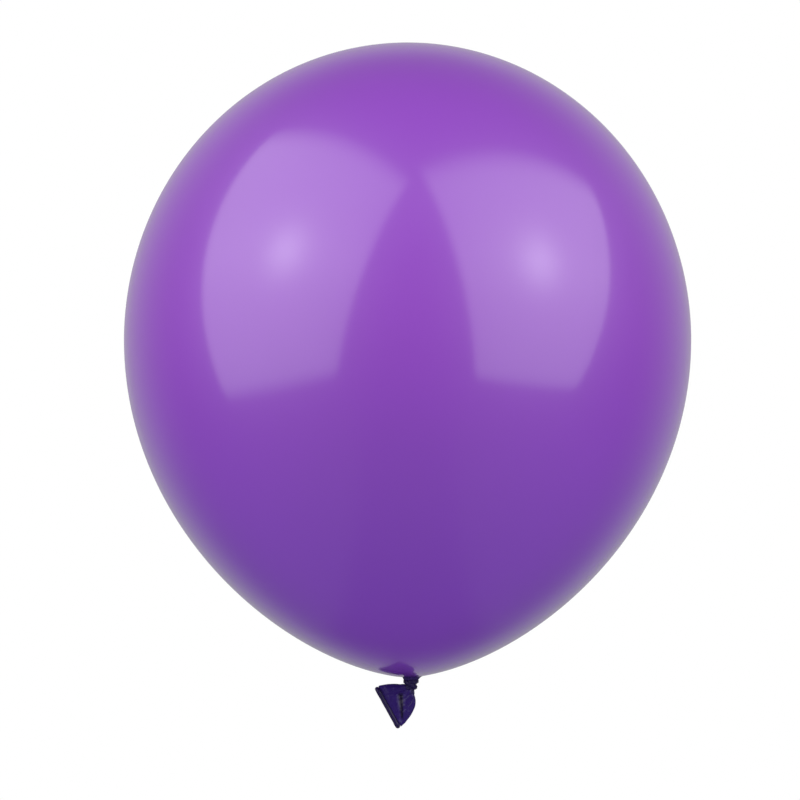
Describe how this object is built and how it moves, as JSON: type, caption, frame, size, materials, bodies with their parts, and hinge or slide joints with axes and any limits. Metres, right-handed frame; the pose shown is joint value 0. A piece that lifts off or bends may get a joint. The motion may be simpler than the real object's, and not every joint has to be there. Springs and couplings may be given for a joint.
{
  "type": "balloon",
  "caption": "Inflated, knotted latex party balloon: a thin drop-shaped skin above a wrapped knot, with a flattened, rim-rolled mouth bent to one side.",
  "frame": {"origin": "centre of the waist of the neck, between the foot of the inflated skin and the knot, where a ribbon is tied", "axes": "+Z along the neck up through the inflated skin towards its crown; -X the side to which the flattened mouth is bent; Y across the flattened mouth's thickness"},
  "size_m": [0.3, 0.3, 0.3627],
  "materials": {
    "stretched_latex": "glossy, slightly translucent stretched latex",
    "gathered_latex": "glossy, radially pleated latex",
    "relaxed_latex": "satin, unstretched latex, pleated along the neck",
    "mouth_latex": "satin, unstretched latex with fold creases",
    "rolled_latex": "satin, solid rolled bead"
  },
  "bodies": {
    "balloon": {"envelope": "stretched_latex", "neck_collar": "gathered_latex"},
    "neck": {"neck_strand": "relaxed_latex"},
    "knot": {"knot_upper_wrap": "relaxed_latex", "knot_lower_wrap": "relaxed_latex", "tail_throat": "relaxed_latex"},
    "tail": {"tail_skirt": "mouth_latex", "rolled_lip": "rolled_latex"}
  },
  "joints": [
    {"name": "neck_sway", "type": "hinge", "parent": "balloon", "child": "neck", "pos_m": [0, 0, 0.0009], "axis": [0, 1, 0], "range_deg": [-12, 12], "stiffness_Nm_per_rad": 0.0005},
    {"name": "neck_twist", "type": "hinge", "parent": "neck", "child": "knot", "pos_m": [0, 0, 0], "axis": [0, 0, 1], "range_deg": [-180, 180], "stiffness_Nm_per_rad": 0.0001},
    {"name": "tail_flap", "type": "hinge", "parent": "knot", "child": "tail", "pos_m": [0, 0, -0.00849], "axis": [0, 1, 0], "range_deg": [-120, 6], "stiffness_Nm_per_rad": 0.0001}
  ]
}
